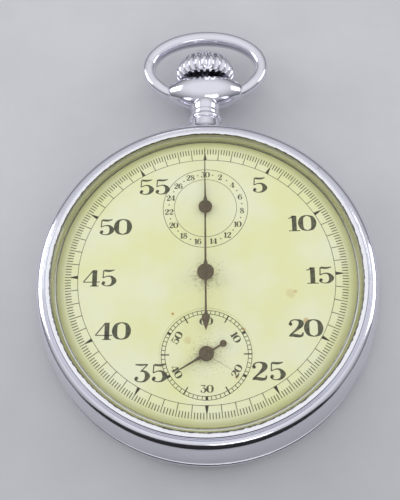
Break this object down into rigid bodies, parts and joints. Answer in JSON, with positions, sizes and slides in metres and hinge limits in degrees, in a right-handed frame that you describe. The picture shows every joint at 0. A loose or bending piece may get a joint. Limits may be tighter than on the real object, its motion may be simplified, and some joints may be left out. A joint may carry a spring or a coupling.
{
  "type": "stopwatch",
  "caption": "Round pocket stopwatch with a domed crystal, oval bow, fluted winding crown, sweep seconds hand, minute counter and running seconds circle",
  "frame": {"origin": "centre of the flat of the back, where the watch lies", "axes": "+Z out of the dial, +Y to 12 and the pendant, +X to 3"},
  "size_m": [0.0516, 0.0704, 0.0129],
  "materials": {
    "case_metal": "polished plated brass",
    "crystal_glass": "polished, slightly aged",
    "dial_paint": "cream enamel paint, aged",
    "hand_steel": "oxidised steel",
    "plate_nickel": "nickel plate, matte grained",
    "wheel_brass": "gilt brass",
    "work_steel": "polished steel",
    "spring_blue": "blued steel",
    "ruby": "polished ruby"
  },
  "bodies": {
    "case": {"case_middle": "case_metal", "pendant": "case_metal", "dial": "dial_paint", "dial_feet": "wheel_brass", "mainplate": "plate_nickel", "barrel_bridge": "plate_nickel", "train_bridge": "plate_nickel", "balance_cock": "plate_nickel", "pallet_cock": "plate_nickel", "chronograph_bridge": "plate_nickel", "bridge_screws": "spring_blue", "cock_screws": "spring_blue", "case_screws": "spring_blue", "jewels": "ruby", "crown_wheel_screw": "spring_blue", "click_spring": "spring_blue", "regulator": "work_steel", "column_jumper": "spring_blue", "lever_studs": "work_steel"},
    "bezel": {"bezel": "case_metal", "crystal": "crystal_glass"},
    "back": {"back_cover": "case_metal"},
    "bow": {"bow": "case_metal"},
    "winding": {"winding_pinion": "work_steel"},
    "crown": {"crown": "case_metal", "crown_cap": "case_metal", "winding_stem": "work_steel"},
    "barrel": {"barrel_drum": "wheel_brass", "barrel_cover": "wheel_brass", "mainspring": "spring_blue"},
    "barrel_arbor": {"barrel_arbor": "work_steel", "ratchet_wheel": "work_steel", "ratchet_screw": "spring_blue"},
    "crown_wheel": {"crown_wheel": "work_steel"},
    "click": {"click": "work_steel"},
    "second_wheel": {"second_wheel": "wheel_brass"},
    "third_wheel": {"third_wheel": "wheel_brass"},
    "fourth_wheel": {"fourth_wheel": "wheel_brass", "driving_wheel": "wheel_brass", "seconds_hand": "hand_steel"},
    "escape_wheel": {"escape_wheel": "work_steel", "escape_pinion": "work_steel"},
    "pallet_fork": {"pallet_fork": "work_steel", "pallet_stones": "ruby"},
    "balance": {"balance_wheel": "wheel_brass", "balance_screws": "wheel_brass", "hairspring": "spring_blue"},
    "coupling_lever": {"coupling_lever": "work_steel"},
    "coupling_wheel": {"coupling_wheel": "wheel_brass"},
    "chronograph": {"chronograph_wheel": "wheel_brass", "seconds_heart": "work_steel", "sweep_hand": "hand_steel"},
    "intermediate": {"intermediate_wheel": "wheel_brass"},
    "minute": {"minute_wheel": "wheel_brass", "minute_heart": "work_steel", "minute_hand": "hand_steel"},
    "column_wheel": {"column_wheel": "work_steel"},
    "operating_lever": {"operating_lever": "work_steel"},
    "reset_hammer": {"reset_hammer": "work_steel"},
    "brake_lever": {"brake_lever": "work_steel"}
  },
  "joints": [
    {"name": "bow_swing", "type": "hinge", "parent": "case", "child": "bow", "pos_m": [0, 0.0331, 0.0052], "axis": [1, 0, 0], "range_deg": [-90, 90]},
    {"name": "crown_turn", "type": "hinge", "parent": "case", "child": "winding", "pos_m": [0, 0.0166, 0.0052], "axis": [0, 1, 0], "continuous": true},
    {"name": "crown_push", "type": "slide", "parent": "winding", "child": "crown", "axis": [0, -1, 0], "range_m": [0, 0.0006], "stiffness_N_per_m": 900},
    {"name": "bezel_off", "type": "slide", "parent": "case", "child": "bezel", "axis": [0, 0, 1], "range_m": [0, 0.02]},
    {"name": "back_off", "type": "slide", "parent": "case", "child": "back", "axis": [0, 0, -1], "range_m": [0, 0.02]},
    {"name": "seconds_turn", "type": "hinge", "parent": "case", "child": "fourth_wheel", "pos_m": [0, -0.01143, 0.0053], "axis": [0, 0, 1], "continuous": true},
    {"name": "third_turn", "type": "hinge", "parent": "case", "child": "third_wheel", "pos_m": [-0.00487, -0.00732, 0.0053], "axis": [0, 0, 1], "continuous": true},
    {"name": "second_turn", "type": "hinge", "parent": "case", "child": "second_wheel", "pos_m": [-0.0089, -0.00029, 0.0053], "axis": [0, 0, 1], "continuous": true},
    {"name": "barrel_turn", "type": "hinge", "parent": "case", "child": "barrel", "pos_m": [-0.0105, 0.0082, 0.006], "axis": [0, 0, 1], "continuous": true},
    {"name": "escape_turn", "type": "hinge", "parent": "case", "child": "escape_wheel", "pos_m": [0.00433, -0.01067, 0.0053], "axis": [0, 0, 1], "continuous": true},
    {"name": "chronograph_turn", "type": "hinge", "parent": "case", "child": "chronograph", "pos_m": [0, 0, 0.0053], "axis": [0, 0, 1], "continuous": true},
    {"name": "coupling_turn", "type": "hinge", "parent": "coupling_lever", "child": "coupling_wheel", "pos_m": [0, -0.00571, 0.0027], "axis": [0, 0, 1], "continuous": true},
    {"name": "intermediate_turn", "type": "hinge", "parent": "case", "child": "intermediate", "pos_m": [0.00061, 0.00486, 0.0024], "axis": [0, 0, 1], "continuous": true},
    {"name": "minute_turn", "type": "hinge", "parent": "case", "child": "minute", "pos_m": [0, 0.01053, 0.0053], "axis": [0, 0, 1], "continuous": true},
    {"name": "arbor_turn", "type": "hinge", "parent": "case", "child": "barrel_arbor", "pos_m": [-0.0105, 0.0082, 0.005], "axis": [0, 0, 1], "continuous": true},
    {"name": "crown_wheel_turn", "type": "hinge", "parent": "case", "child": "crown_wheel", "pos_m": [-0.0016, 0.01467, 0.0031], "axis": [0, 0, 1], "continuous": true},
    {"name": "click_swing", "type": "hinge", "parent": "case", "child": "click", "pos_m": [-0.01131, -0.00106, 0.0031], "axis": [0, 0, 1], "range_deg": [-8, 0], "stiffness_Nm_per_rad": 0.00001},
    {"name": "pallet_swing", "type": "hinge", "parent": "case", "child": "pallet_fork", "pos_m": [0.00719, -0.00902, 0.0061], "axis": [0, 0, 1], "range_deg": [-5, 5]},
    {"name": "balance_swing", "type": "hinge", "parent": "case", "child": "balance", "pos_m": [0.011, -0.007, 0.005], "axis": [0, 0, 1], "range_deg": [-270, 270], "stiffness_Nm_per_rad": 0.00000037},
    {"name": "coupling_swing", "type": "hinge", "parent": "case", "child": "coupling_lever", "pos_m": [0, -0.01143, 0.0022], "axis": [0, 0, 1], "range_deg": [-3, 0], "stiffness_Nm_per_rad": 0.0001},
    {"name": "column_turn", "type": "hinge", "parent": "case", "child": "column_wheel", "pos_m": [0.012, 0.007, 0.0038], "axis": [0, 0, 1], "continuous": true},
    {"name": "operating_swing", "type": "hinge", "parent": "case", "child": "operating_lever", "pos_m": [0.0074, 0.0132, 0.005], "axis": [0, 0, 1], "range_deg": [0, 4.9]},
    {"name": "hammer_swing", "type": "hinge", "parent": "case", "child": "reset_hammer", "pos_m": [0.0049, 0.0084, 0.0031], "axis": [0, 0, 1], "range_deg": [-4, 0], "stiffness_Nm_per_rad": 0.0001},
    {"name": "brake_swing", "type": "hinge", "parent": "case", "child": "brake_lever", "pos_m": [0.0073, 0.0025, 0.0027], "axis": [0, 0, 1], "range_deg": [0, 4], "stiffness_Nm_per_rad": 0.0001}
  ],
  "couplings": [
    {"joint": "third_turn", "follows": "seconds_turn", "ratio": -0.13333},
    {"joint": "second_turn", "follows": "seconds_turn", "ratio": 0.016667},
    {"joint": "barrel_turn", "follows": "seconds_turn", "ratio": -0.002381},
    {"joint": "escape_turn", "follows": "seconds_turn", "ratio": -10},
    {"joint": "coupling_turn", "follows": "seconds_turn", "ratio": -3.1765},
    {"joint": "chronograph_turn", "follows": "seconds_turn", "ratio": 1},
    {"joint": "intermediate_turn", "follows": "seconds_turn", "ratio": -0.16667},
    {"joint": "minute_turn", "follows": "seconds_turn", "ratio": 0.033333},
    {"joint": "crown_wheel_turn", "follows": "crown_turn", "ratio": 0.5},
    {"joint": "arbor_turn", "follows": "crown_turn", "ratio": -0.20513},
    {"joint": "operating_swing", "follows": "crown_push", "rad_per_m": 140}
  ]
}
